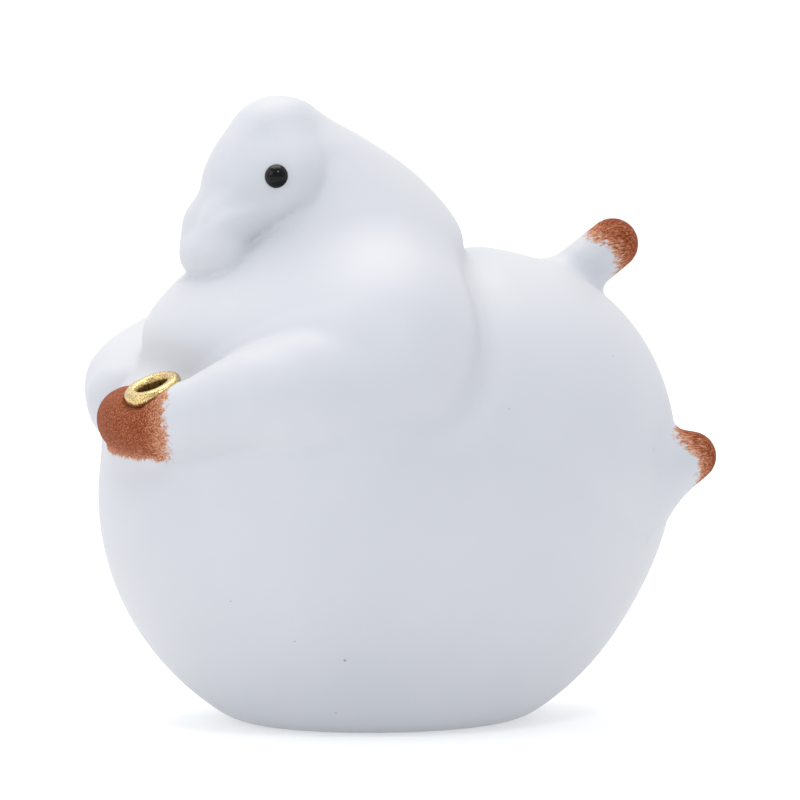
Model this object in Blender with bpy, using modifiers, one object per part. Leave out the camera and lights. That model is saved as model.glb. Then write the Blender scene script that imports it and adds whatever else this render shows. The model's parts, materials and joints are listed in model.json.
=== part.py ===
# Round ceramic horse that hugs its own belly and holds one incense stick between its front hooves.
# The horse faces -X, its left side is -Y, and the middle of its flat foot stands on the origin.
import bmesh
import bpy
import numpy as np
from mathutils import Matrix, Vector

MM = 0.001
HEIGHT = 0.0771          # floor to the top of the head; every lobe below is drawn for DRAWN_HEIGHT
DRAWN_HEIGHT = 0.0771
WALL = 0.004             # thickness of the cast clay
VENT_ACROSS = 0.0035     # vent hole in the foot
VENT_BEHIND = 0.011      # from the middle of the foot to the middle of the vent
GAP = 0.0003             # between pieces that touch
EDGE_ROUND = 1.2         # rounding of the foot's edge, mm as drawn

RING_ACROSS = 0.0071     # brass ring that lies on the left front hoof
RING_THICK = 0.0016
RING_EDGE = 0.00065      # rounding of the ring's edges
RING_BORE = 0.0038       # takes a stick of 2 to 3 mm
TUBE_ACROSS = 0.0052
TUBE_LONG = 0.005
RING_LEAN_FRONT = 23.8   # degrees from upright towards the nose
RING_LEAN_SIDE = 8.5      # degrees from upright towards the left side
RING_SUNK = 0.7          # how deep its flat lies under the skin, mm as drawn

EYE_ACROSS = 0.0031
EYE_OUT = 0.55           # how much of the bead's radius stands out of the skin

CLAY_STEP = 1.3          # grid of the remesh, mm as drawn
CLAY_TRIANGLES = 5600
HOLLOW_STEP = 3.2
HOLLOW_TRIANGLES = 1000

# Lobes of the horse in millimetres as drawn. A ball is centre x, z and radii x, y, z, or centre x, y, z and
# radii. A limb is a row of x, y, z, radius. Y below zero is the left side, and the right side mirrors it.
BELLY = (0.5, 27.87, 34.92, 31.2, 32.56)
RUMP = (15.4, 32.9, 22.2, 26.5, 24.55)
NECK_HEIGHTS = (24.0, 32.0, 40.0, 45.0, 50.0, 54.0, 57.0, 61.0, 65.0, 69.0, 72.5, 75.5)
NECK_MIDDLE = (-9.0, -7.0, -4.0, -3.0, -2.0, -1.5, -1.2, -1.5, -3.0, -5.5, -8.2, -10.5)
NECK_FRONT = (4.0, 17.5, 24.5, 26.6, 26.4, 24.1, 20.0, 16.1, 12.5, 8.5, 6.15, 2.4)
NECK_BEHIND = (4.0, 13.0, 15.8, 17.4, 16.4, 14.8, 12.9, 11.6, 10.3, 8.6, 5.6, 2.3)
NECK_HALF_WIDE = (4.0, 22.0, 27.0, 26.3, 24.6, 21.4, 17.8, 14.4, 11.6, 8.9, 6.4, 2.8)
NECK_POINT = (0.0, 0.0, 0.0, 0.05, 0.15, 0.25, 0.3, 0.25, 0.1, 0.0, 0.0, 0.0)    # how much its front narrows
SHOULDER = (-5.0, -15.0, 42.0, 17.4, 15.3, 16.2)
LEFT_FORELEG = ((-6.0, -19.0, 40.5, 10.0), (-10.5, -20.4, 40.4, 9.0), (-14.7, -20.8, 40.3, 7.8),
                (-20.7, -20.0, 40.4, 6.4), (-26.2, -17.6, 39.4, 5.2), (-30.2, -13.6, 38.2, 4.2),
                (-31.9, -8.8, 37.9, 3.9), (-31.9, -2.6, 37.8, 3.8))
RIGHT_FORELEG = ((-6.0, 19.0, 41.0, 10.0), (-12.5, 21.2, 42.0, 9.0), (-17.6, 21.9, 42.6, 8.3),
                 (-23.2, 20.2, 41.2, 7.6), (-26.8, 16.0, 40.8, 6.4), (-28.5, 11.5, 40.2, 5.6),
                 (-29.8, 7.5, 39.6, 5.0))
HIND_LEG = ((20.0, -12.0, 28.0, 8.5), (30.3, -14.0, 30.1, 4.7), (36.6, -14.0, 32.8, 3.07))
TAIL = ((20.9, 0.0, 51.0, 3.4), (30.85, 0.0, 58.6, 3.2))
HEAD_TURN = 14.0         # degrees towards its left, about an upright line at x = HEAD_PIVOT
HEAD_PIVOT = -10.0
SKULL = ((-12.63, 0.0, 70.6, 6.54), (-14.86, 0.0, 68.9, 5.84))
CHEEK = (-12.9, -5.0, 66.6, 5.4, 4.7, 5.6)
NOSE = ((-17.2, 0.0, 65.65, 5.04), (-20.4, 0.0, 61.4, 3.1))
NOSE_WIDEN = 1.25
JAW = ((-13.5, -4.4, 65.2, 3.6), (-18.2, -3.4, 62.4, 3.3))
MUZZLE = (-21.1, 0.0, 58.0, 4.0, 5.8, 4.05)
NOSTRIL = (-21.2, -2.8, 61.5, 2.5, 2.4, 2.3)
EYE_AT = (-16.4, 67.4)   # x, z where the eye sits on the side of the unturned head
RING_AT = (-30.8, -12.5) # x, y where the ring sits on the hoof
RING_PAD = 3.5           # radius of the clay pad under the ring

K = HEIGHT / DRAWN_HEIGHT


def ball(p, centre, radii):
    q = p - np.array(centre)
    r = np.array(radii)
    k0 = np.sqrt(((q / r) ** 2).sum(-1))
    k1 = np.sqrt(((q / r ** 2) ** 2).sum(-1)) + 1e-9
    return k0 * (k0 - 1) / k1


def stem(p, a, b):
    # distance to a straight limb whose radius changes evenly from ball a to ball b
    start, end, ra, rb = np.array(a[:3]), np.array(b[:3]), a[3], b[3]
    axis = end - start
    long = axis @ axis
    less = ra - rb
    side2 = long - less * less
    q = p - start
    y = q @ axis
    z = y - long
    x2 = ((q * long - y[..., None] * axis) ** 2).sum(-1)
    k = np.sign(less) * less * less * x2
    out = (np.sqrt(np.maximum(x2 * side2 / long, 0)) + y * less) / long - ra
    out = np.where(np.sign(y) * side2 * y * y * long < k, np.sqrt(x2 + y * y * long) / long - ra, out)
    return np.where(np.sign(z) * side2 * z * z * long > k, np.sqrt(x2 + z * z * long) / long - rb, out)


def bend(t, at, values):
    # smooth curve through the stations
    at, values = np.array(at, float), np.array(values, float)
    slope = np.gradient(values, at)
    t = np.clip(t, at[0], at[-1])
    i = np.clip(np.searchsorted(at, t, side="right") - 1, 0, len(at) - 2)
    h = at[i + 1] - at[i]
    s = (t - at[i]) / h
    return ((2 * s ** 3 - 3 * s ** 2 + 1) * values[i] + (s ** 3 - 2 * s ** 2 + s) * h * slope[i]
            + (3 * s ** 2 - 2 * s ** 3) * values[i + 1] + (s ** 3 - s ** 2) * h * slope[i + 1])


def stations(limb, count):
    limb = np.array(limb)
    far = np.concatenate([[0], np.cumsum(np.linalg.norm(np.diff(limb[:, :3], axis=0), axis=1))])
    t = np.linspace(0, far[-1], count)
    return np.stack([bend(t, far, limb[:, i]) for i in range(4)], 1)


def limb_field(p, limb, count):
    rows = stations(limb, count)
    return np.min([stem(p, a, b) for a, b in zip(rows[:-1], rows[1:])], axis=0)


def neck_field(p):
    z = p[..., 2]
    middle, front, behind, b, point = (bend(z, NECK_HEIGHTS, v) for v in (
        NECK_MIDDLE, NECK_FRONT, NECK_BEHIND, NECK_HALF_WIDE, NECK_POINT))
    x, y = p[..., 0] - middle, p[..., 1]
    t = np.clip(-x / front, 0, 1)
    a, b = np.where(x < 0, front, behind), b * (1 - point * t * t * (3 - 2 * t))
    k0 = np.sqrt((x / a) ** 2 + (y / b) ** 2)
    k1 = np.sqrt((x / a ** 2) ** 2 + (y / b ** 2) ** 2)
    side = np.where(k0 < 0.05, -np.minimum(a, b), k0 * (k0 - 1) / np.maximum(k1, 1e-6))
    return np.maximum(side * 0.85, np.maximum(z - NECK_HEIGHTS[-1], NECK_HEIGHTS[0] - z))


def join(a, b, ease):
    h = np.clip(0.5 + 0.5 * (b - a) / ease, 0, 1)
    return b + (a - b) * h - ease * h * (1 - h)


def seam(a, b, ease, deep, wide):
    # the same join with a shallow groove pressed along the line where the two lobes meet
    return join(a, b, ease) + deep * np.exp(-((a - b) / wide) ** 2)


def mirrored(p):
    q = p.copy()
    q[..., 1] = -np.abs(q[..., 1])
    return q


def trunk_fields(p):
    q = mirrored(p)
    back = join(ball(p, (BELLY[0], 0, BELLY[1]), BELLY[2:]), ball(p, (RUMP[0], 0, RUMP[1]), RUMP[2:]), 3)
    front = join(neck_field(p), ball(q, SHOULDER[:3], SHOULDER[3:]), 7)
    return back, front


def head_turned(p, way):
    # turns points about the head's upright line: 1 from the room to the head, -1 back again
    c, s = np.cos(np.radians(HEAD_TURN)), np.sin(np.radians(HEAD_TURN)) * way
    x, y = p[..., 0] - HEAD_PIVOT, p[..., 1]
    return np.stack([c * x + s * y + HEAD_PIVOT, c * y - s * x, p[..., 2]], -1)


def head_field(p):
    p = head_turned(p, 1)
    q = mirrored(p)
    wide = p * np.array([1, 1 / NOSE_WIDEN, 1])
    head = join(stem(p, *SKULL), ball(q, CHEEK[:3], CHEEK[3:]), 2.5)
    head = join(head, stem(wide, *NOSE), 2.5)
    head = join(head, stem(q, *JAW), 2)
    head = join(head, ball(p, MUZZLE[:3], MUZZLE[3:]), 1)
    return join(head, ball(q, NOSTRIL[:3], NOSTRIL[3:]), 2.4)


def ring_axis():
    lean = np.radians([RING_LEAN_FRONT, RING_LEAN_SIDE])
    up = np.array([-np.tan(lean[0]), -np.tan(lean[1]), 1])
    return up / np.linalg.norm(up)


def bare_horse(p):
    q = mirrored(p)
    back, front = trunk_fields(p)
    tight = np.clip((p[..., 2] - 28) / 14, 0, 1)     # the breast melts into the belly low down
    tight = tight * tight * (3 - 2 * tight)
    d = seam(back, front, 9 - 7.5 * tight, 0.6 * tight, 1.4)
    for leg in (RIGHT_FORELEG, LEFT_FORELEG):
        d = seam(d, limb_field(p, leg, 12), 3, 0.2, 1)
    d = join(d, limb_field(q, HIND_LEG, 7), 3)
    d = join(d, stem(p, *TAIL), 2.2)
    return seam(d, head_field(p), 1.6, 0.12, 0.7)


def find_skin(field, outside, inside):
    # the point between the two where the field is zero
    a, b = np.array(outside, float), np.array(inside, float)
    for _ in range(40):
        middle = (a + b) / 2
        if field(middle[None])[0] > 0:
            a = middle
        else:
            b = middle
    return (a + b) / 2


RING_SKIN = find_skin(bare_horse, (*RING_AT, 60), (*RING_AT, 39))
RING_SEAT = RING_SKIN - RING_SUNK * ring_axis()


def horse_field(p):
    axis = ring_axis()
    low, top = RING_SEAT - 7 * axis, RING_SEAT - (RING_PAD - 0.9) * axis
    d = join(bare_horse(p), stem(p, (*low, RING_PAD), (*top, RING_PAD)), 1.6)
    return -join(-d, p[..., 2] + EDGE_ROUND * 0.25, EDGE_ROUND * 1.5)


def hollow_field(p):
    back, front = trunk_fields(p)
    wall = WALL / MM / K
    foot = RING_SEAT - TUBE_LONG / MM / K * ring_axis()
    around = TUBE_ACROSS / 2 / MM / K + wall * 0.75
    d = np.maximum(join(back, front, 8) + wall, wall - p[..., 2])
    return np.maximum(d, -stem(p, (*RING_SEAT, around), (*foot, around)))


def raw_mesh(name, build):
    mesh = bpy.data.meshes.new(name)
    bm = bmesh.new()
    build(bm)
    bmesh.ops.recalc_face_normals(bm, faces=bm.faces)
    bm.to_mesh(mesh)
    bm.free()
    return mesh


def add_rings(bm, rings):
    rows = [[bm.verts.new(p) for p in ring] for ring in rings]
    for low, high in zip(rows[:-1], rows[1:]):
        for i in range(len(low)):
            j = (i + 1) % len(low)
            bm.faces.new((low[i], low[j], high[j], high[i]))
    bm.faces.new(rows[0][::-1])
    bm.faces.new(rows[-1])


def add_ball(bm, centre, radii):
    turn = np.linspace(0, 2 * np.pi, 36, endpoint=False)
    x, y, z = centre
    a, b, c = radii
    rows = [(np.sin(u), np.cos(u)) for u in np.linspace(0.06, np.pi - 0.06, 22)]
    add_rings(bm, [[(x + a * s * np.cos(t), y + b * s * np.sin(t), z - c * h) for t in turn] for s, h in rows])


def add_limb(bm, limb, shrink, side, place=np.array):
    for x, y, z, r in stations(limb, 10):
        add_ball(bm, place((x, side * y, z)), (max(r - shrink, 0.5),) * 3)


def trunk_lobes(bm, shrink):
    for lobe in (BELLY, RUMP):
        add_ball(bm, (lobe[0], 0, lobe[1]), [r - shrink for r in lobe[2:]])
    for side in (1, -1):
        x, y, z = SHOULDER[:3]
        add_ball(bm, (x, side * y, z), [r - shrink for r in SHOULDER[3:]])
    turn = np.linspace(0, 2 * np.pi, 48, endpoint=False)
    rings = []
    for z in np.linspace(NECK_HEIGHTS[0] + shrink, NECK_HEIGHTS[-1] - shrink, 26):
        m, front, behind, b = (bend(z, NECK_HEIGHTS, v) - c for v, c in (
            (NECK_MIDDLE, 0), (NECK_FRONT, shrink), (NECK_BEHIND, shrink), (NECK_HALF_WIDE, shrink)))
        a = np.where(np.cos(turn) > 0, behind, front)
        if min(front, behind, b) > 1.2:
            rings.append([(m + x, y, z) for x, y in zip(a * np.cos(turn), b * np.sin(turn))])
    add_rings(bm, rings)


def all_lobes(bm):
    def place(p):
        return head_turned(np.array(p), -1)
    trunk_lobes(bm, 0)
    for side in (1, -1):
        add_limb(bm, HIND_LEG, 0, side)
        add_limb(bm, JAW, 0, side, place)
        for x, y, z, *radii in (CHEEK, NOSTRIL):
            add_ball(bm, place((x, side * y, z)), radii)
    for limb in (LEFT_FORELEG, RIGHT_FORELEG, TAIL):
        add_limb(bm, limb, 0, 1)
    for limb in (SKULL, NOSE):
        add_limb(bm, limb, 0, 1, place)
    add_ball(bm, place(MUZZLE[:3]), MUZZLE[3:])
    foot = RING_SEAT - 7 * ring_axis()
    add_limb(bm, ((*foot, RING_PAD), (*(RING_SEAT - RING_PAD * ring_axis()), RING_PAD)), 0, 1)


def new_object(name, mesh, collection):
    obj = bpy.data.objects.new(name, mesh)
    collection.objects.link(obj)
    return obj


def settle(obj, make):
    # applies one modifier
    modifier = make(obj)
    graph = bpy.context.evaluated_depsgraph_get()
    mesh = bpy.data.meshes.new_from_object(obj.evaluated_get(graph))
    obj.modifiers.remove(modifier)
    old, obj.data = obj.data, mesh
    bpy.data.meshes.remove(old)


def remesh(obj, step):
    def make(o):
        m = o.modifiers.new("Remesh", "REMESH")
        m.mode = "VOXEL"
        m.voxel_size = step
        return m
    settle(obj, make)


def thin_out(obj, triangles):
    now = sum(len(p.vertices) - 2 for p in obj.data.polygons)

    def make(o):
        m = o.modifiers.new("Decimate", "DECIMATE")
        m.ratio = min(1, triangles / now)
        return m
    settle(obj, make)


def ease_onto(obj, field, rounds, limit=0.6, relax=0.35):
    # each round slides a vertex towards its neighbours' middle, then along the slope onto the surface
    mesh = obj.data
    v = np.empty(len(mesh.vertices) * 3)
    mesh.vertices.foreach_get("co", v)
    v = v.reshape(-1, 3)
    e = np.empty(len(mesh.edges) * 2, int)
    mesh.edges.foreach_get("vertices", e)
    e = e.reshape(-1, 2)
    degree = np.bincount(e.ravel(), minlength=len(v))[:, None]
    corners = np.array([[1, -1, -1], [-1, -1, 1], [-1, 1, -1], [1, 1, 1]]) * 0.05
    for turn in range(rounds):
        if turn < rounds - 3:
            near = [np.bincount(e.ravel(), v[e[:, ::-1].ravel(), i], len(v)) for i in range(3)]
            v += relax * (np.stack(near, 1) / degree - v)
        around = np.array([field(v + c) for c in corners])
        value = around.mean(0)
        slope = around.T @ corners / 0.01
        size = np.maximum((slope ** 2).sum(1), 0.05)
        move = -(value / size)[:, None] * slope
        far = np.linalg.norm(move, axis=1, keepdims=True)
        v += move * np.minimum(1, limit / np.maximum(far, 1e-9))
    mesh.vertices.foreach_set("co", v.ravel())
    mesh.update()


def shrink_to_metres(obj):
    obj.data.transform(Matrix.Scale(MM * K, 4))


def boolean(obj, other, operation="DIFFERENCE"):
    def make(o):
        m = o.modifiers.new("Boolean", "BOOLEAN")
        m.solver = "EXACT"
        m.operation = operation
        m.object = other
        return m
    settle(obj, make)


def turned(profile, segments=32):
    # a closed profile of (radius, height) swept once around the Z axis
    def build(bm):
        turn = np.linspace(0, 2 * np.pi, segments, endpoint=False)
        rows = [[bm.verts.new((r * np.cos(t), r * np.sin(t), z)) for t in turn] for r, z in profile]
        for a, b in zip(rows, rows[1:] + rows[:1]):
            for i in range(segments):
                j = (i + 1) % segments
                bm.faces.new((a[i], a[j], b[j], b[i]))
    return build


def cylinder(radius, low, high, segments=32):
    def build(bm):
        turn = np.linspace(0, 2 * np.pi, segments, endpoint=False)
        add_rings(bm, [[(radius * np.cos(t), radius * np.sin(t), z) for t in turn] for z in (low, high)])
    return build


def material(name, rgb, rough, metal=0.0):
    mat = bpy.data.materials.new(name)
    mat.use_nodes = True
    skin = mat.node_tree.nodes["Principled BSDF"]
    skin.inputs["Base Color"].default_value = (*rgb, 1)
    skin.inputs["Roughness"].default_value = rough
    skin.inputs["Metallic"].default_value = metal
    mat.diffuse_color = (*rgb, 1)
    return mat


def smooth(obj, mat, angle=180):
    obj.data.materials.clear()
    obj.data.materials.append(mat)
    obj.data.shade_smooth()
    obj.data.set_sharp_from_angle(angle=np.radians(angle))


for old in list(bpy.data.objects):
    bpy.data.objects.remove(old)
whole = bpy.data.collections.new("horse_incense_holder")
cutters = bpy.data.collections.new("cutters")
for collection in (whole, cutters):
    bpy.context.scene.collection.children.link(collection)
cutters.hide_render = True


def cutter(name, build, place):
    obj = new_object(name, raw_mesh(name, build), cutters)
    obj.data.transform(place)
    obj.hide_render = True
    obj.display_type = "WIRE"
    return obj


ceramic = material("white_ceramic", (0.72, 0.73, 0.76), 0.45)
brass = material("brass", (0.62, 0.45, 0.24), 0.3, 1.0)
bead = material("black_glaze", (0.01, 0.01, 0.012), 0.08)

# Clay skin: the lobes as solids, fused by a remesh, then eased onto the blended surface
body = new_object("horse_body", raw_mesh("horse_body", all_lobes), whole)
remesh(body, CLAY_STEP)
ease_onto(body, horse_field, 12, relax=0.5)
thin_out(body, CLAY_TRIANGLES)
ease_onto(body, horse_field, 6, relax=0.3)
shrink_to_metres(body)

# Hollow of the casting, left solid around the ring's tube
hollow = new_object("hollow", raw_mesh("hollow", lambda bm: trunk_lobes(bm, WALL / MM / K)), cutters)
remesh(hollow, HOLLOW_STEP)
ease_onto(hollow, hollow_field, 10)
thin_out(hollow, HOLLOW_TRIANGLES)
shrink_to_metres(hollow)
hollow.hide_render = True
hollow.display_type = "WIRE"

axis = Vector(ring_axis())
seat = Vector(RING_SEAT) * MM * K
stand = Matrix.Translation(seat) @ axis.to_track_quat("Z", "Y").to_matrix().to_4x4()
under = cutter("floor", cylinder(HEIGHT, -HEIGHT, 0), Matrix.Identity(4))
vent = cutter("vent", cylinder(VENT_ACROSS / 2, -WALL, WALL * 2), Matrix.Translation((VENT_BEHIND, 0, 0)))
flat = cutter("ring_flat", cylinder(RING_ACROSS / 2 + GAP, 0, RING_ACROSS), stand)
bore = cutter("ring_seat", cylinder(TUBE_ACROSS / 2 + GAP, -TUBE_LONG - GAP * 2, RING_THICK), stand)
for tool in (hollow, under, vent, flat, bore):
    boolean(body, tool)

# Brass ring and its tube, one turned profile
outer, hole, tube, top, edge = RING_ACROSS / 2, RING_BORE / 2, TUBE_ACROSS / 2, GAP + RING_THICK, RING_EDGE
rim = [(outer - edge + edge * np.sin(a), GAP + edge - edge * np.cos(a)) for a in np.radians([0, 30, 60, 90])]
rim += [(outer - edge + edge * np.cos(a), top - edge + edge * np.sin(a)) for a in np.radians([0, 30, 60, 90])]
lip = hole + (outer - hole) * 0.32
profile = [(tube, -TUBE_LONG), (tube, GAP), *rim, (lip, top), (hole, top - (lip - hole) * 0.8)]
profile.append((hole, -TUBE_LONG))
ring = new_object("incense_ferrule", raw_mesh("incense_ferrule", turned(profile)), whole)
ring.data.transform(stand)

# Bead eyes in round sockets
eye_r = EYE_ACROSS / 2
for name, side in (("eye_left", -1), ("eye_right", 1)):
    beside, within = (head_turned(np.array((EYE_AT[0], y, EYE_AT[1])), -1) for y in (side * 30, 0))
    skin = find_skin(horse_field, beside, within) * MM * K
    point = skin / (MM * K)
    slope = [(horse_field((point + s)[None]) - horse_field((point - s)[None]))[0] for s in np.eye(3) * 0.2]
    out = Vector(slope).normalized()
    centre = Vector(skin) - out * eye_r * (1 - EYE_OUT)
    place = Matrix.Translation(centre) @ out.to_track_quat("Z", "Y").to_matrix().to_4x4()

    def sphere(radius):
        def build(bm):
            bmesh.ops.create_uvsphere(bm, u_segments=20, v_segments=12, radius=radius)
        return build

    boolean(body, cutter(name + "_socket", sphere(eye_r + GAP), place))
    eye = new_object(name, raw_mesh(name, sphere(eye_r)), whole)
    eye.data.transform(place)
    smooth(eye, bead)

smooth(body, ceramic, 50)
smooth(ring, brass, 40)
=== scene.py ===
# Round ceramic horse that hugs its own belly and holds one incense stick in the ring on its near hoof.
# The horse faces -X, its left side is -Y, and the middle of its flat foot stands on the origin.
import json

import bpy
import numpy as np
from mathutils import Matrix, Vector

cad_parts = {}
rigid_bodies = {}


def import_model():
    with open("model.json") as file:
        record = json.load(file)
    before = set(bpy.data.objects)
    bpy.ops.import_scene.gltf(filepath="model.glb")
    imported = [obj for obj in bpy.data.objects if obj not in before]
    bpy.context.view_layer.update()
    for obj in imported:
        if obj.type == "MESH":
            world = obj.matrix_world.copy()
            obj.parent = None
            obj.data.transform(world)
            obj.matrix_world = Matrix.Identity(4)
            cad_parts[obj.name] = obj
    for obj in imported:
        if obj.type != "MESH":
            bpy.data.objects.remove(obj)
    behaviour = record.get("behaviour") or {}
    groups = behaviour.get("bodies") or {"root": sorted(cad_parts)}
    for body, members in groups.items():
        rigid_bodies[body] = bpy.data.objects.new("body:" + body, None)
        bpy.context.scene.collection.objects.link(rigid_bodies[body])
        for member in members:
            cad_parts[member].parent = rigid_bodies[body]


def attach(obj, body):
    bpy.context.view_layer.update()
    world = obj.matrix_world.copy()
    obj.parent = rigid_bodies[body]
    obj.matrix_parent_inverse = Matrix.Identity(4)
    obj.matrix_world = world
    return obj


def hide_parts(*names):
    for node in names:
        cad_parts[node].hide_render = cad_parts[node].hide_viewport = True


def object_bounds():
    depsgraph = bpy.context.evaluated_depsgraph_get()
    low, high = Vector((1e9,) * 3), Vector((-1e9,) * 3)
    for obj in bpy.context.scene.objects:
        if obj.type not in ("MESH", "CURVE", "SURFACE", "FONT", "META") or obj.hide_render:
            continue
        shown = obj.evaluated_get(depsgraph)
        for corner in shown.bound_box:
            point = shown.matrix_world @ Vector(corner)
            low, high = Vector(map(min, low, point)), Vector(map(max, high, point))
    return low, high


for thing in list(bpy.data.objects):
    bpy.data.objects.remove(thing)
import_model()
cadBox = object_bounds()
mm = 0.001
perMm = 1000.0


def putMesh(name, points, faces, node):
    # points are in millimetres, faces an array of fours or a list of rows of any length
    faces = faces.tolist() if isinstance(faces, np.ndarray) else faces
    mesh = bpy.data.meshes.new(name)
    mesh.from_pydata((points * mm).tolist(), [], faces)
    mesh.validate()
    mesh.polygons.foreach_set("use_smooth", np.ones(len(mesh.polygons), bool))
    piece = bpy.data.objects.new(name, mesh)
    bpy.context.scene.collection.objects.link(piece)
    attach(piece, "root")
    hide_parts(node)
    print("made", name, len(mesh.polygons), "faces")
    return piece


def gridFaces(rows, columns, closeRows=False, closeColumns=True):
    # fours between neighbouring rows and columns of a grid of points, wrapping where it is closed
    r = np.arange(rows if closeRows else rows - 1)
    c = np.arange(columns if closeColumns else columns - 1)
    r, c = (v.ravel() for v in np.meshgrid(r, c, indexing="ij"))
    r2, c2 = (r + 1) % rows, (c + 1) % columns
    return np.stack([r * columns + c, r * columns + c2, r2 * columns + c2, r2 * columns + c], 1)


def turnTo(axis):
    # the three directions of a frame whose last one is the given axis
    axis = np.array(axis, float)
    axis /= np.linalg.norm(axis)
    side = np.cross((0.0, 1.0, 0.0), axis)
    side /= np.linalg.norm(side)
    return np.stack([side, np.cross(axis, side), axis])


# The horse's shape is a distance to its skin: below zero inside the clay, above zero outside. All sizes are
# in millimetres. A ball is its centre x y z and its half sizes x y z, and a limb is a row of x y z radius.

horse = dict(
    belly=(0.5, 0, 27.87, 34.92, 31.2, 32.56),
    rump=(15.4, 0, 32.9, 22.2, 26.5, 24.55),
    shoulder=(-3.2, -15, 42, 13.6, 15.3, 16.2),
    elbow=(-5.5, -21.2, 34.5, 9.6, 10.2, 8.6),
    # the neck is an egg-shaped ring at each of these heights; its middle is the x of its widest place
    neckHeights=(24, 32, 40, 45, 50, 54, 57, 61, 65, 69, 72.5, 75.5),
    neckMiddle=(-9, -7, -4, -3, -2, -1.5, -1.2, -1.5, -3, -5.5, -8.2, -10.5),
    neckFront=(4, 17.5, 24.5, 26.6, 26.4, 23.7, 20.6, 16.5, 12.6, 8.8, 6.15, 2.4),
    neckBehind=(4, 13, 15.8, 17.4, 16.5, 14.8, 13.2, 11.7, 10.3, 8.4, 5.6, 2.3),
    neckHalfWide=(4, 22, 27, 26.3, 24.1, 21.2, 18.8, 15.5, 12.2, 9.1, 6.4, 2.8),
    neckPoint=(0, 0, 0, 0, 0.04, 0.08, 0.1, 0.1, 0.05, 0, 0, 0),      # how much its front narrows
    neckTrust=0.85,                                  # share of the ring's rough distance that is believed
    nearForeleg=((-5, -19.5, 41.2, 10.8), (-9.5, -20.3, 41.2, 9.6), (-14, -20.8, 40.9, 8.2),
                 (-20.7, -20, 40.7, 6.2), (-26.2, -17.6, 39.3, 4.5), (-30.2, -13.6, 38.4, 3.8),
                 (-31.9, -8.8, 38.1, 3.7), (-31.9, -2.6, 38, 3.7)),
    farForeleg=((-6, 19, 41, 10), (-12.5, 21.2, 42, 9), (-17.6, 21.9, 42.6, 8.3), (-23.2, 20.2, 41.2, 7.6),
                (-26.8, 16, 40.8, 6.4), (-28.5, 11.5, 40.2, 5.6), (-29.8, 7.5, 39.6, 5)),
    hindLeg=((20, -12, 28, 8.5), (30.3, -14, 30.1, 4.7), (36.6, -14, 32.8, 3.07)),
    forelegParts=12, hindLegParts=7,
    tail=((20.9, 0, 51, 3.4), (30.85, 0, 58.6, 3.2)),
    headTurn=14, headPivot=-10,                      # degrees to its left, about an upright line at this x
    skull=((-12.63, 0, 70.6, 6.54), (-14.86, 0, 68.9, 5.84)),
    cheek=(-12.9, -5, 66.6, 5.4, 4.7, 5.6), cheekLean=20,
    nose=((-17.2, 0, 65.65, 5.04), (-20.4, 0, 61.4, 3.1)), noseWiden=1.25,
    jaw=((-13.5, -4.4, 65.2, 3.6), (-18.2, -3.4, 62.4, 3.3)),
    muzzle=(-20.9, 0, 58, 4.2, 6.2, 4.05), muzzleLean=10,
    nostrilFlare=(-21.2, -2.8, 61.5, 2.5, 2.4, 2.3),
    # lines and points that are pressed into the skin
    faceHollow=((-15.4, -9.1, 65), (-17.2, -8.4, 64.8), (-19.1, -7.8, 64.3), (-20.7, -7.3, 63.7),
                (-22, -6.8, 62.8)),
    mouth=((-23.7, -5.55, 56.7), (-22.4, -7.2, 56.9), (-21.1, -8.2, 57.5)),
    nostril=(-22.8, -6.3, 61.8),
    pollDimple=(-9.2, -6.1, 72.5),
    thigh=((17.4, -29.4, 33.2), (21, -26.4, 29.4), (24.2, -24.1, 26.7), (26.8, -21.8, 25.1), (29.4, -19, 24)),
    hock=((30.7, -19, 35.6), (30.2, -19.7, 34.1), (29.8, -20.3, 32.6)),
    breastHeights=(31, 43), crownHeights=(69, 73),   # over these heights the join changes from low to high
    footRound=1.5, footLift=0.25,
    ventAcross=3.5, ventBehind=11, ventDeep=4.5,
    ringPad=3.5, ringPadDeep=6,
    skinStep=0.52,                                   # size of a face of the skin
    # size of the fillet where each form runs into the ones before it
    ease=dict(rump=3, shoulder=5, neckTop=3, breastLow=9.0, breastHigh=1.3, foreleg=3.0, elbow=2.4, hindLeg=3,
              tail=2.2, cheek=2.5, nose=2.5, jaw=2.0, muzzle=1.0, nostrilFlare=2.4, face=1.2, crown=2.4,
              ringPad=1.6, hole=0.5),
    # depth and width of each groove or dimple
    press=dict(breast=(1.0, 1.5), foreleg=(0.3, 1.0), elbow=(0.3, 1.3), face=(0.26, 0.6),
               faceHollow=(0.3, 1.1), mouth=(0.16, 0.45), nostril=(0.2, 0.55), pollDimple=(0.4, 2.2),
               thigh=(0.32, 1.3), hock=(0.2, 1.1)),
)
ease, press = horse["ease"], horse["press"]


def ball(p, row, lean=0):
    # stretched ball, leaned forward by some degrees: how far out in half sizes, over how fast that grows
    q = p - np.array(row[:3], np.float32)
    if lean:
        c, s = np.cos(np.radians(lean)), np.sin(np.radians(lean))
        q = np.stack([q[:, 0] * c + q[:, 2] * s, q[:, 1], q[:, 2] * c - q[:, 0] * s], 1)
    r = np.array(row[3:], np.float32)
    k0 = np.sqrt(((q / r) ** 2).sum(-1))
    return k0 * (k0 - 1) / (np.sqrt(((q / r ** 2) ** 2).sum(-1)) + 1e-9)


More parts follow.
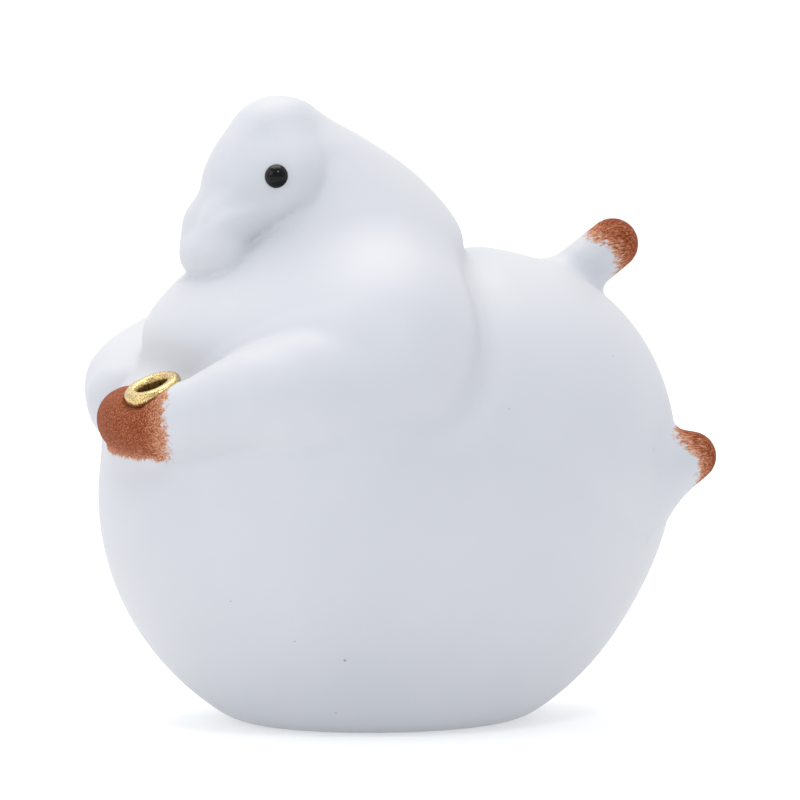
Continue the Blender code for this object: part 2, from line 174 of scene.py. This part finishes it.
def stem(p, a, b):
    # straight limb whose radius changes evenly from ball a to ball b
    start, end = np.array(a[:3], np.float32), np.array(b[:3], np.float32)
    axis = end - start
    long, less = float(axis @ axis), a[3] - b[3]
    side2 = long - less * less
    q = p - start
    y = q @ axis
    z = y - long
    x2 = ((q * long - y[:, None] * axis) ** 2).sum(-1)
    k = np.sign(less) * less * less * x2
    out = (np.sqrt(np.maximum(x2 * side2 / long, 0)) + y * less) / long - a[3]
    out = np.where(np.sign(y) * side2 * y * y * long < k, np.sqrt(x2 + y * y * long) / long - a[3], out)
    return np.where(np.sign(z) * side2 * z * z * long > k, np.sqrt(x2 + z * z * long) / long - b[3], out)


def bend(t, at, values):
    # smooth curve through the stations: a cubic between each two, with the slope of their neighbours
    at, values = np.array(at, np.float32), np.array(values, np.float32)
    slope = np.gradient(values, at)
    t = np.clip(t, at[0], at[-1])
    i = np.clip(np.searchsorted(at, t, side="right") - 1, 0, len(at) - 2)
    h = at[i + 1] - at[i]
    s = (t - at[i]) / h
    return ((2 * s ** 3 - 3 * s ** 2 + 1) * values[i] + (s ** 3 - 2 * s ** 2 + s) * h * slope[i]
            + (3 * s ** 2 - 2 * s ** 3) * values[i + 1] + (s ** 3 - s ** 2) * h * slope[i + 1])


def limb(p, rows, count):
    # bent limb: a chain of straight stems along the smooth curve through the rows
    rows = np.array(rows, float)
    far = np.concatenate([[0], np.cumsum(np.linalg.norm(np.diff(rows[:, :3], axis=0), axis=1))])
    t = np.linspace(0, far[-1], count)
    rows = np.stack([bend(t, far, rows[:, i]) for i in range(4)], 1)
    return np.min([stem(p, a, b) for a, b in zip(rows[:-1], rows[1:])], axis=0)


def neck(p):
    # each height has its own oval, narrower towards its front where the point says so
    h = horse
    z = p[:, 2]
    middle, front, behind, b, point = (bend(z, h["neckHeights"], h[k]) for k in (
        "neckMiddle", "neckFront", "neckBehind", "neckHalfWide", "neckPoint"))
    x, y = p[:, 0] - middle, p[:, 1]
    t = np.clip(-x / front, 0, 1)
    a, b = np.where(x < 0, front, behind), b * (1 - point * t * t * (3 - 2 * t))
    k0 = np.sqrt((x / a) ** 2 + (y / b) ** 2)
    k1 = np.sqrt((x / a ** 2) ** 2 + (y / b ** 2) ** 2)
    side = np.where(k0 < 0.05, -np.minimum(a, b), k0 * (k0 - 1) / np.maximum(k1, 1e-6))
    # cut level at the bottom, and rounded over at the top, where the head sits on it
    side = np.maximum(side * h["neckTrust"], h["neckHeights"][0] - z)
    return -join(-side, h["neckHeights"][-1] - z, ease["neckTop"])


def join(a, b, fillet):
    # the nearer of two surfaces, with a fillet of about this size between them
    h = np.clip(0.5 + 0.5 * (b - a) / fillet, 0, 1)
    return b + (a - b) * h - fillet * h * (1 - h)


def seam(a, b, fillet, groove, share=1.0):
    # the same join with a shallow groove pressed along the line where the two lobes meet
    deep, wide = groove
    return join(a, b, fillet) + deep * share * np.exp(-((a - b) / wide) ** 2)


def climb(z, heights):
    # 0 below the first height, 1 above the second, evenly between
    return np.clip((z - heights[0]) / (heights[1] - heights[0]), 0, 1)


def mirrored(p):
    # both sides folded onto the near one
    return np.stack([p[:, 0], -np.abs(p[:, 1]), p[:, 2]], 1)


def headFrame(p, way=1):
    # turns the points back by the head's turn, so that the head's own middle is y = 0; -1 turns them on again
    a = np.radians(horse["headTurn"]) * way
    c, s = np.cos(a), np.sin(a)
    x, y = p[:, 0] - horse["headPivot"], p[:, 1]
    return np.stack([c * x + s * y + horse["headPivot"], c * y - s * x, p[:, 2]], 1)


def groove(p, name):
    # pressed along the line through the points, fading out within about twice the width
    deep, wide = press[name]
    rows = [(*a, 0.0) for a in horse[name]]
    far = np.min([stem(p, a, b) for a, b in zip(rows[:-1], rows[1:])], axis=0)
    return deep * np.exp(-(far / wide) ** 2)


def dimple(p, at, deep, wide):
    # pressed round one point in the same way
    return deep * np.exp(-((p - np.array(at, np.float32)) ** 2).sum(-1) / wide ** 2)


def head(p):
    # worked out for one side of the unturned head and mirrored
    h = horse
    q = headFrame(p)
    m = mirrored(q)
    wide = q * np.array([1, 1 / h["noseWiden"], 1], np.float32)
    d = join(stem(q, *h["skull"]), ball(m, h["cheek"], h["cheekLean"]), ease["cheek"])
    d = join(d, stem(wide, *h["nose"]), ease["nose"])
    d = join(d, stem(m, *h["jaw"]), ease["jaw"])
    d = join(d, ball(q, h["muzzle"], h["muzzleLean"]), ease["muzzle"])
    return join(d, ball(m, h["nostrilFlare"]), ease["nostrilFlare"])


def bareHorse(p):
    # the modelled lobes alone, without ring, foot or fine modelling
    h, z = horse, p[:, 2]
    m = mirrored(p)
    d = join(ball(p, h["belly"]), ball(p, h["rump"]), ease["rump"])
    front = join(neck(p), ball(m, h["shoulder"]), ease["shoulder"])
    # the breast melts into the belly low down, and has a crisp crease higher up
    tight = climb(z, h["breastHeights"])
    tight = tight * tight * (3 - 2 * tight)
    d = seam(d, front, ease["breastLow"] + (ease["breastHigh"] - ease["breastLow"]) * tight, press["breast"], tight)
    for leg in ("farForeleg", "nearForeleg"):
        d = seam(d, limb(p, h[leg], h["forelegParts"]), ease["foreleg"], press["foreleg"])
    d = seam(d, ball(m, h["elbow"]), ease["elbow"], press["elbow"])
    d = join(d, limb(m, h["hindLeg"], h["hindLegParts"]), ease["hindLeg"])
    d = join(d, stem(p, *h["tail"]), ease["tail"])
    # the face is set off from the neck by a crease, and the crown runs into it
    crown = climb(z, h["crownHeights"])
    return seam(d, head(p), ease["face"] + (ease["crown"] - ease["face"]) * crown, press["face"], 1 - crown)


def horseField(p):
    # the finished horse: the lobes with the ring's pad, the fine modelling, the flat foot and the holes
    h = horse
    m = mirrored(p)
    d = bareHorse(p)
    pad = stem(p, (*ringSeat, h["ringPad"]), (*(ringSeat - ringAxis * h["ringPadDeep"]), h["ringPad"]))
    d = join(d, pad, ease["ringPad"])
    # the hollow of the cheek and the mouth on the near side, and the creases of thigh and hock on both
    d = d + groove(p, "faceHollow") + groove(p, "mouth")
    d = d + dimple(p, h["pollDimple"], *press["pollDimple"]) + dimple(p, h["nostril"], *press["nostril"])
    d = d + groove(m, "thigh") + groove(m, "hock")
    # flat foot with a rounded edge, the vent hole, the hole for the ring's tube and the flat that it lies on
    d = -join(-d, p[:, 2] + h["footLift"], h["footRound"])
    vent = np.hypot(p[:, 0] - h["ventBehind"], p[:, 1]) - h["ventAcross"] / 2
    d = -join(-d, np.maximum(vent, p[:, 2] - h["ventDeep"]), ease["hole"])
    along = (p - ringSeat.astype(np.float32)) @ ringAxis.astype(np.float32)
    across = np.sqrt(np.maximum(((p - ringSeat) ** 2).sum(-1) - along ** 2, 0))
    hole = np.maximum(across - ring["tubeAcross"] / 2 - ring["tubeGap"], -along - ring["tubeLong"])
    flat = np.maximum(across - ring["across"] / 2 - ring["flatGap"], -along)
    return -join(-d, np.minimum(hole, flat), ease["hole"])


def skinPoint(start, way, field):
    # walks from start along a direction until the skin is met
    at = np.array(start, float)
    for _ in range(60):
        at = at + np.array(way) * field(at[None].astype(np.float32))[0]
    return at


def inBlocks(field, points):
    # block by block, to keep memory low
    return np.concatenate([field(points[i:i + 60000]) for i in range(0, len(points), 60000)])


def skinMesh(field, low, high, step):
    # A coarse grid finds where the skin is near, and the fine grid is worked out only there. A box gets a
    # point at the mean of the crossings on its twelve edges, and a cut edge gets the face of its four boxes.
    few, reach = 4, 1.6                              # fine steps in a coarse one, coarse steps that count as near
    count = (np.ceil((np.array(high) - low) / (step * few)).astype(int)) * few + 1
    axes = [np.float32(low[i]) + np.arange(count[i], dtype=np.float32) * step for i in range(3)]
    coarse = np.stack(np.meshgrid(*(a[::few] for a in axes), indexing="ij"), -1)
    rough = inBlocks(field, coarse.reshape(-1, 3)).reshape(coarse.shape[:3])
    close = np.abs(rough) < step * few * reach
    near = close.copy()
    for i in (-1, 0, 1):
        for j in (-1, 0, 1):
            for k in (-1, 0, 1):
                near |= np.roll(close, (i, j, k), (0, 1, 2))
    which = np.ix_(*(np.minimum((np.arange(n) + few // 2) // few, m - 1) for n, m in zip(count, near.shape)))
    value, mask = rough[which].copy(), near[which]
    where = np.argwhere(mask)
    value[mask] = inBlocks(field, np.stack([axes[i][where[:, i]] for i in range(3)], 1))
    inside = value < 0
    corners = [(i, j, k) for i in (0, 1) for j in (0, 1) for k in (0, 1)]

    def cut(a, c):
        return a[c[0]:a.shape[0] - 1 + c[0], c[1]:a.shape[1] - 1 + c[1], c[2]:a.shape[2] - 1 + c[2]]

    some = sum(cut(inside, c).astype(np.int8) for c in corners)
    live = (some > 0) & (some < 8)
    number = np.full(live.shape, -1)
    number[live] = np.arange(live.sum())
    at = np.argwhere(live)
    eight = np.stack([cut(value, c)[live] for c in corners], 1)
    total, crossings = np.zeros((len(at), 3)), np.zeros(len(at))
    for a in range(8):
        for b in range(a + 1, 8):
            gap = np.array(corners[b]) - corners[a]
            if np.abs(gap).sum() == 1:
                hit = (eight[:, a] < 0) != (eight[:, b] < 0)
                t = eight[hit, a] / (eight[hit, a] - eight[hit, b])
                total[hit] += np.array(corners[a]) + t[:, None] * gap
                crossings[hit] += 1
    points = np.stack([axes[i][at[:, i]] for i in range(3)], 1) + total / crossings[:, None] * step
    faces = []
    for axis in range(3):
        b, c = [(1, 2), (2, 0), (0, 1)][axis]
        first = [slice(1, -1)] * 3
        first[axis] = slice(0, -1)
        second = [slice(1, -1)] * 3
        second[axis] = slice(1, None)
        one, two = inside[tuple(first)], inside[tuple(second)]
        for flip in (False, True):
            shift = np.ones(3, int)
            shift[axis] = 0
            rows = np.argwhere((two & ~one) if flip else (one & ~two)) + shift
            four = []
            for db, dc in ((-1, -1), (0, -1), (0, 0), (-1, 0)):
                r = rows.copy()
                r[:, b] += db
                r[:, c] += dc
                four.append(number[r[:, 0], r[:, 1], r[:, 2]])
            four = np.stack(four, 1)
            faces.append(four[:, ::-1] if flip else four)
    return points, np.concatenate(faces)


def easeOnto(points, field, times=3):
    # moves every point onto the skin along the slope of the distance
    tiny, farthest = 0.06, 0.3
    steps = np.array([(1, -1, -1), (-1, -1, 1), (-1, 1, -1), (1, 1, 1)], np.float32)
    for _ in range(times):
        four = [inBlocks(field, (points + s * tiny).astype(np.float32)) for s in steps]
        slope = sum(s * f[:, None] for s, f in zip(steps, four)) / (4 * tiny)
        move = sum(four) / 4 / np.maximum((slope ** 2).sum(1), 0.25)
        points = points - np.clip(move, -farthest, farthest)[:, None] * slope
    return points


# the brass ring is an eyelet that lies on the near front hoof
ring = dict(
    at=(-30.8, -12.5),                               # x, y
    lean=(-0.385, -0.19, 0.903),
    sunk=0.7,                                        # below the skin
    across=7.1, bore=3.8, thick=1.6, edge=0.66,
    tubeAcross=5.2, tubeLong=5.0,
    tubeGap=0.1, flatGap=0.5,                        # clear of the clay
    chamfer=0.15, lip=0.3,                           # of the under edge, and from the rounded edge to the bore
    columns=160,
    wobbles=((3, 0.6, 0.006), (7, 0.0, 0.004)),      # waves round the ring, start, share: hand-pressed, not round
)
ringAxis = np.array(ring["lean"]) / np.linalg.norm(ring["lean"])
topOfHoof = skinPoint((*ring["at"], 60.0), (0, 0, -1), bareHorse)
ringSeat = topOfHoof - ringAxis * ring["sunk"]
print("ring seat", np.round(ringSeat, 2))

margin = 1.2
low, high = (np.array(corner) / mm for corner in cadBox)
skin, skinFaces = skinMesh(horseField, low - margin, high + margin, horse["skinStep"])
skin = easeOnto(skin, horseField)
skin[:, 2] = np.maximum(skin[:, 2], 0)
horseSkin = putMesh("horse_skin", skin, skinFaces, "horse_body")


# paint: how far a point of the skin lies inside a brown cap, in millimetres, kept as an attribute

paint = dict(
    # a point of the cap's edge, the way to the tip, and a bite out of the edge: its place, depth and width
    nearHoof=((-30.2, -18, 38), (-0.966, 0.259, 0), (-28, -20.6, 39.2), 1.1, 2.6),
    tail=((28.9, 0, 57.2), (0.795, 0, 0.607), (29.2, -3, 57.6), 0.9, 1.6),
    hind=((34.9, -14, 32.3), (0.92, 0, 0.39), (35.3, -17, 32.2), 1.5, 2.2),
    reach=1.1, fade=3,                               # how far off its limb a cap ends, and how sharply
)


def capDepth(points, cap, limbDistance):
    # how far beyond the cap's edge towards the tip, less the bite, and ending where the skin leaves the limb
    at, way, bite, deep, wide = cap
    way = np.array(way) / np.linalg.norm(way)
    inside = (points - np.array(at)) @ way - dimple(points, bite, deep, wide)
    return np.minimum(inside, paint["fade"] * (paint["reach"] - limbDistance))


fromForeleg = limb(skin.astype(np.float32), horse["nearForeleg"], horse["forelegParts"])
fromTail = stem(skin.astype(np.float32), *horse["tail"])
fromHindLeg = limb(mirrored(skin.astype(np.float32)), horse["hindLeg"], horse["hindLegParts"])
caps = [capDepth(skin, paint["nearHoof"], fromForeleg), capDepth(skin, paint["tail"], fromTail),
        capDepth(mirrored(skin), paint["hind"], fromHindLeg)]
layer = horseSkin.data.attributes.new("capDepth", "FLOAT", "POINT")
layer.data.foreach_set("value", np.max(caps, axis=0).astype(np.float32))
print("painted caps", int((np.max(caps, axis=0) > 0).sum()), "points")


# ring and tube: a profile turned about the ring's axis; columns go round, rows follow the closed profile

def ringProfile():
    # radius and height of each row, from the foot of the tube over the top and down the bore
    r = ring
    outer, inner, tube, e, t = r["across"] / 2, r["bore"] / 2, r["tubeAcross"] / 2, r["edge"], r["thick"]
    corner = np.linspace(0, np.pi / 2, 9)
    rows = [(tube, -r["tubeLong"]), (tube, 0.0), (outer - r["chamfer"], 0.0), (outer, r["chamfer"])]
    rows += [(outer - e + e * np.cos(a), t - e + e * np.sin(a)) for a in corner]
    rows += [(inner + e - e * np.sin(a), t - e + e * np.cos(a)) for a in corner]
    rows += [(inner, z) for z in np.linspace(t - e - r["lip"], -r["tubeLong"], 10)]
    return np.array(rows)


profile = ringProfile()
around = np.linspace(0, 2 * np.pi, ring["columns"], endpoint=False)
side, cross, up = turnTo(ringAxis)
wobble = sum(share * np.sin(waves * around + start) for waves, start, share in ring["wobbles"])
radius = profile[:, :1] * (1 + wobble)
ringPoints = (ringSeat + radius[..., None] * (np.cos(around)[:, None] * side + np.sin(around)[:, None] * cross)
              + profile[:, 1][:, None, None] * up).reshape(-1, 3)
ringPiece = putMesh("brass_ring", ringPoints, gridFaces(len(profile), len(around), closeRows=True),
                    "incense_ferrule")


# eyes: round beads half sunk in the skin, each a ball on a grid of two angles with a fan at either pole

eye = dict(
    at=(-16.75, 67.4),                               # x, z on the side of the unturned head
    across=3.0, out=0.55,                            # share of the radius that stands out of the skin
    columns=48, rows=25,
)


def eyeMesh(name, centre, radius, node):
    # rows go from pole to pole, columns round: sine and cosine of the two angles times the radius
    n, rows = eye["columns"], eye["rows"] - 2
    v = np.linspace(0, np.pi, rows + 2)[1:-1, None]
    u = np.linspace(0, 2 * np.pi, n, endpoint=False)[None]
    x, y, z = np.sin(v) * np.cos(u), np.sin(v) * np.sin(u), np.cos(v) * np.ones_like(u)
    points = np.concatenate([np.stack([x, y, z], -1).reshape(-1, 3), [(0, 0, 1)], [(0, 0, -1)]])
    top, bottom, last = rows * n, rows * n + 1, (rows - 1) * n
    faces = gridFaces(rows, n).tolist()
    faces += [[top, (i + 1) % n, i] for i in range(n)]
    faces += [[bottom, last + i, last + (i + 1) % n] for i in range(n)]
    return putMesh(name, points * radius + centre, [f[::-1] for f in faces], node)


def eyeCentre(sideSign):
    # straight in from the side of the turned head until the skin, and then a share of the radius deeper
    x, z = eye["at"]
    start, middle = headFrame(np.array([(x, sideSign * 30.0, z), (x, 0.0, z)]), -1)
    way = (middle - start) / np.linalg.norm(middle - start)
    return skinPoint(start, way, bareHorse) + way * (1 - eye["out"]) * eye["across"] / 2


eyes = [eyeMesh("eye_bead_" + name, eyeCentre(sign), eye["across"] / 2, "eye_" + name)
        for name, sign in (("left", -1), ("right", 1))]


# materials

def linear(code):
    # a colour code as seen on screen, turned into light values
    rgb = np.array([int(code[i:i + 2], 16) / 255 for i in (1, 3, 5)])
    rgb = np.where(rgb <= 0.04045, rgb / 12.92, ((rgb + 0.055) / 1.055) ** 2.4)
    return (*rgb, 1.0)


def addNode(tree, kind, wires=None, stops=(), **settings):
    # a setting goes to the node's own property of that name if it has one, otherwise to its socket; _ and a
    # number is the socket of that number, and the stops are those of a colour ramp, which starts with two
    node = tree.nodes.new("ShaderNode" + kind)
    for name, value in settings.items():
        if hasattr(node, name):
            setattr(node, name, value)
        else:
            node.inputs[int(name[1:]) if name[1:].isdigit() else name.replace("_", " ")].default_value = value
    for name, socket in (wires or {}).items():
        tree.links.new(socket, node.inputs[name])
    for i, (at, code) in enumerate(stops[:1] + stops[-1:] + stops[1:-1]):
        stop = node.color_ramp.elements[i] if i < 2 else node.color_ramp.elements.new(at)
        stop.position, stop.color = at, linear(code)
    return node


def newMaterial(name):
    material = bpy.data.materials.new(name)
    material.use_nodes = True
    material.node_tree.nodes.clear()
    return material, material.node_tree


def finishMaterial(tree, shader):
    output = tree.nodes.new("ShaderNodeOutputMaterial")
    tree.links.new(shader.outputs[0], output.inputs["Surface"])


glaze = dict(
    white=("#babdc3", "#c3c5c9"),
    stain=((0.34, "#67290f"), (0.45, "#7e3d22"), (0.56, "#9a5d41"), (0.70, "#c39478")),
    # sizes of the patterns in millimetres
    cloudSize=14.0, streakSize=1.5, patchSize=2.4, fineSize=0.7, grainSize=0.35,
    # how far streaks and patches shift the cap's edge, and the sum of all three where the stain begins and covers
    streakShift=4.6, patchShift=2.6, coverFrom=3.45, coverTo=4.2,
    speck="#8c8177",
    # iron specks in the glaze: x, y, z, radius
    specks=((-10.24, -24.38, 10.19, 0.26), (-9.73, -18.1, 3.12, 0.16), (-16.08, -23.18, 12.51, 0.13),
            (-20.27, -25.49, 29.64, 0.15), (-23.25, -20.47, 17.22, 0.14), (-15.73, -26.94, 47.1, 0.17),
            (10.93, -20.9, 49.63, 0.15), (6.37, -26.25, 47.7, 0.14), (5.58, -27.76, 41.27, 0.15),
            (9.02, -27.87, 40.03, 0.14), (24.52, -19.85, 45.66, 0.13), (29.88, -20.08, 34.18, 0.24)),
)


def satinGlazeWithBrushedStain():
    # slip-cast earthenware under a satin white glaze: broad soft highlights, faint cloudy tint, a few specks;
    # the tips are brushed with thin terracotta stain, dry and matt, which breaks up into streaks at its edge
    g = glaze
    material, tree = newMaterial("satin white glaze with terracotta stain")
    coords = addNode(tree, "TexCoord").outputs["Object"]
    cloud = addNode(tree, "TexNoise", {"Vector": coords}, Scale=perMm / g["cloudSize"], Detail=2.0, Roughness=0.5)
    colour = addNode(tree, "Mix", {"Factor": cloud.outputs["Fac"]}, data_type="RGBA",
                     _6=linear(g["white"][0]), _7=linear(g["white"][1])).outputs[2]
    # each speck is a soft dot around its own place
    for x, y, z, r in g["specks"]:
        far = addNode(tree, "VectorMath", {0: coords}, operation="DISTANCE", _1=(x * mm, y * mm, z * mm))
        dot = addNode(tree, "MapRange", {"Value": far.outputs["Value"]}, From_Min=r * mm, From_Max=r * mm * 0.4,
                      To_Max=0.8)
        colour = addNode(tree, "Mix", {"Factor": dot.outputs[0], 6: colour}, data_type="RGBA",
                         _7=linear(g["speck"])).outputs[2]
    # brush strokes: noise drawn out along the limbs; it shifts the cap's edge and thins the stain near it
    cap = addNode(tree, "Attribute", attribute_name="capDepth").outputs["Fac"]
    stretch = addNode(tree, "Mapping", {"Vector": coords}, Rotation=(0.0, 0.5, 0.3), Scale=(1.0, 3.4, 3.4))
    streaks = addNode(tree, "TexNoise", {"Vector": stretch.outputs[0]}, Scale=perMm / g["streakSize"], Detail=5.0,
                      Roughness=0.7)
    patches = addNode(tree, "TexNoise", {"Vector": coords}, Scale=perMm / g["patchSize"], Detail=3.0, Roughness=0.6)
    ragged = addNode(tree, "Math", {0: streaks.outputs["Fac"], 2: cap}, operation="MULTIPLY_ADD",
                     _1=g["streakShift"])
    patchy = addNode(tree, "Math", {0: patches.outputs["Fac"], 2: ragged.outputs[0]}, operation="MULTIPLY_ADD",
                     _1=g["patchShift"])
    cover = addNode(tree, "MapRange", {"Value": patchy.outputs[0]}, From_Min=g["coverFrom"], From_Max=g["coverTo"])
    # the stain pools dark in the middle of the cap and goes thin and orange towards its edge
    thin = addNode(tree, "MapRange", {"Value": cap}, From_Min=0.0, From_Max=3.6, To_Min=0.17, To_Max=-0.05)
    fine = addNode(tree, "TexNoise", {"Vector": stretch.outputs[0]}, Scale=perMm / g["fineSize"], Detail=4.0,
                   Roughness=0.7)
    tone = addNode(tree, "Math", {0: fine.outputs["Fac"], 1: thin.outputs[0]}, operation="ADD")
    stain = addNode(tree, "ValToRGB", {"Fac": tone.outputs[0]}, g["stain"])
    colour = addNode(tree, "Mix", {"Factor": cover.outputs[0], 6: colour, 7: stain.outputs[0]}, data_type="RGBA")
    # satin where it is glazed, matt where it is stained, with a fine grain all over
    satin = addNode(tree, "MapRange", {"Value": cloud.outputs["Fac"]}, To_Min=0.46, To_Max=0.58)
    rough = addNode(tree, "Mix", {0: cover.outputs[0], 2: satin.outputs[0]}, data_type="FLOAT", _3=0.85)
    shine = addNode(tree, "MapRange", {"Value": cover.outputs[0]}, To_Min=0.5, To_Max=0.12)
    grain = addNode(tree, "TexNoise", {"Vector": coords}, Scale=perMm / g["grainSize"], Detail=3.0, Roughness=0.6)
    bump = addNode(tree, "Bump", {"Height": grain.outputs["Fac"]}, Strength=0.12, Distance=0.04 * mm)
    shader = addNode(tree, "BsdfPrincipled", {
        "Base Color": colour.outputs[2], "Roughness": rough.outputs[0], "Specular IOR Level": shine.outputs[0],
        "Normal": bump.outputs[0]}, IOR=1.5)
    finishMaterial(tree, shader)
    return material


brass = dict(
    tint=((0.34, "#85683a"), (0.46, "#c3a56a"), (0.62, "#e6d4a2")),
    dentSize=0.45, dentDeep=0.14, brushSize=0.14, brushDeep=0.04,      # millimetres
)


def brushedPressedBrass():
    # pressed brass eyelet, brushed and lightly hammered: pale gold with broken highlights and dark fine lines
    material, tree = newMaterial("pressed brass, brushed")
    coords = addNode(tree, "TexCoord").outputs["Object"]
    dents = addNode(tree, "TexNoise", {"Vector": coords}, Scale=perMm / brass["dentSize"], Detail=3.0,
                    Roughness=0.65)
    brush = addNode(tree, "TexNoise", {"Vector": coords}, Scale=perMm / brass["brushSize"], Detail=2.0,
                    Roughness=0.6)
    tint = addNode(tree, "ValToRGB", {"Fac": brush.outputs["Fac"]}, brass["tint"])
    rough = addNode(tree, "MapRange", {"Value": dents.outputs["Fac"]}, To_Min=0.16, To_Max=0.40)
    fine = addNode(tree, "Bump", {"Height": brush.outputs["Fac"]}, Strength=0.5, Distance=brass["brushDeep"] * mm)
    bump = addNode(tree, "Bump", {"Height": dents.outputs["Fac"], "Normal": fine.outputs[0]}, Strength=0.45,
                   Distance=brass["dentDeep"] * mm)
    shader = addNode(tree, "BsdfPrincipled", {"Base Color": tint.outputs[0], "Roughness": rough.outputs[0],
                                              "Normal": bump.outputs[0]}, Metallic=1.0)
    finishMaterial(tree, shader)
    return material


def glossFiredBlackGlaze():
    # gloss black glaze fired on a bead: near-black with one sharp small highlight
    material, tree = newMaterial("gloss black glaze")
    coords = addNode(tree, "TexCoord").outputs["Object"]
    ripple = addNode(tree, "TexNoise", {"Vector": coords}, Scale=perMm / 0.8, Detail=1.0)
    bump = addNode(tree, "Bump", {"Height": ripple.outputs["Fac"]}, Strength=0.05, Distance=0.05 * mm)
    shader = addNode(tree, "BsdfPrincipled", {"Normal": bump.outputs[0]}, Base_Color=linear("#050507"),
                     Roughness=0.05, IOR=1.5, Specular_IOR_Level=0.2)
    finishMaterial(tree, shader)
    return material


horseSkin.data.materials.append(satinGlazeWithBrushedStain())
ringPiece.data.materials.append(brushedPressedBrass())
beadGlaze = glossFiredBlackGlaze()
for bead in eyes:
    bead.data.materials.append(beadGlaze)
print("materials are ready")


# floor, lights and camera

studio = dict(
    # a translucent white table, lit from below, a little under the foot
    floorTone="#d2d2d2", floorGlow=0.42, floorHalf=20000, floorLines=21, floorDrop=0.02,
    # the white beyond the horse, and the dimmer room on the camera's side; the dot with "back" where they change
    skyAhead=("#ffffff", 1.14), skyBehind=("#dfe4f0", 0.93), skyTurn=(-0.3, 0.7),
    # place and size in metres, watts, tint
    lights=(("overhead", (0.0, 0.25, 0.85), 0.7, 4.2, "#fff6ea"),
            ("window", (-0.7, -0.15, 0.45), 0.5, 1.15, "#ffffff"),
            ("spark", (0.0, -0.59, 0.72), 0.14, 1.3, "#ffffff")),
    lightsAim=(0, 0, 0.035),
    eyeDistance=600.0, aim=(3.125, 39.5), lens=216.5,      # aim: millimetres right and up of the origin, as seen
)
# the camera's own directions: from the horse to the camera, to its right and upwards
back = np.array((-0.2566, -0.9577, 0.1305))
right = np.array((0.9659, -0.2588, 0.0))
above = np.array((0.0338, 0.1261, 0.9914))


def makeFloor():
    # one wide flat sheet
    s = studio
    across = np.linspace(-s["floorHalf"], s["floorHalf"], s["floorLines"])
    x, y = np.meshgrid(across, across)
    points = np.stack([x.ravel(), y.ravel(), np.full(x.size, -s["floorDrop"])], 1)
    mesh = bpy.data.meshes.new("floor")
    faces = gridFaces(s["floorLines"], s["floorLines"], closeColumns=False)
    mesh.from_pydata((points * mm).tolist(), [], faces.tolist())
    floor = bpy.data.objects.new("floor", mesh)
    bpy.context.scene.collection.objects.link(floor)
    material, tree = newMaterial("matt white paper")
    shader = addNode(tree, "BsdfPrincipled", Base_Color=linear(s["floorTone"]), Roughness=0.9,
                     Emission_Color=linear("#ffffff"), Emission_Strength=s["floorGlow"])
    finishMaterial(tree, shader)
    mesh.materials.append(material)


def makeSky():
    # the light of the room changes evenly from one side to the other
    scene = bpy.context.scene
    scene.view_settings.view_transform = "Standard"
    scene.world = bpy.data.worlds.new("studio")
    scene.world.use_nodes = True
    tree = scene.world.node_tree
    (ahead, aheadPower), (behind, behindPower) = studio["skyAhead"], studio["skyBehind"]
    way = addNode(tree, "TexCoord").outputs["Generated"]
    facing = addNode(tree, "VectorMath", {0: way}, operation="DOT_PRODUCT", _1=back)
    turn = addNode(tree, "MapRange", {"Value": facing.outputs["Value"]}, From_Min=studio["skyTurn"][0],
                   From_Max=studio["skyTurn"][1])
    mix = addNode(tree, "Mix", {"Factor": turn.outputs[0]}, data_type="RGBA",
                  _6=[c * aheadPower for c in linear(ahead)], _7=[c * behindPower for c in linear(behind)])
    tree.links.new(mix.outputs[2], tree.nodes["Background"].inputs["Color"])


def makeLights():
    for name, place, size, power, tint in studio["lights"]:
        lamp = bpy.data.lights.new(name, "AREA")
        lamp.energy, lamp.size, lamp.color = power, size, linear(tint)[:3]
        thing = bpy.data.objects.new(name, lamp)
        thing.location = place
        thing.rotation_euler = (Vector(studio["lightsAim"]) - Vector(place)).to_track_quat("-Z", "Y").to_euler()
        bpy.context.scene.collection.objects.link(thing)


def makeCamera():
    s = studio
    lens = bpy.data.cameras.new("camera")
    lens.lens, lens.sensor_width = s["lens"], 36.0
    camera = bpy.data.objects.new("camera", lens)
    place = back * s["eyeDistance"] * mm
    target = (right * s["aim"][0] + above * s["aim"][1]) * mm
    camera.location = place
    camera.rotation_euler = Vector(target - place).to_track_quat("-Z", "Y").to_euler()
    bpy.context.scene.collection.objects.link(camera)
    bpy.context.scene.camera = camera


makeFloor()
makeSky()
makeLights()
makeCamera()
print("studio is ready")
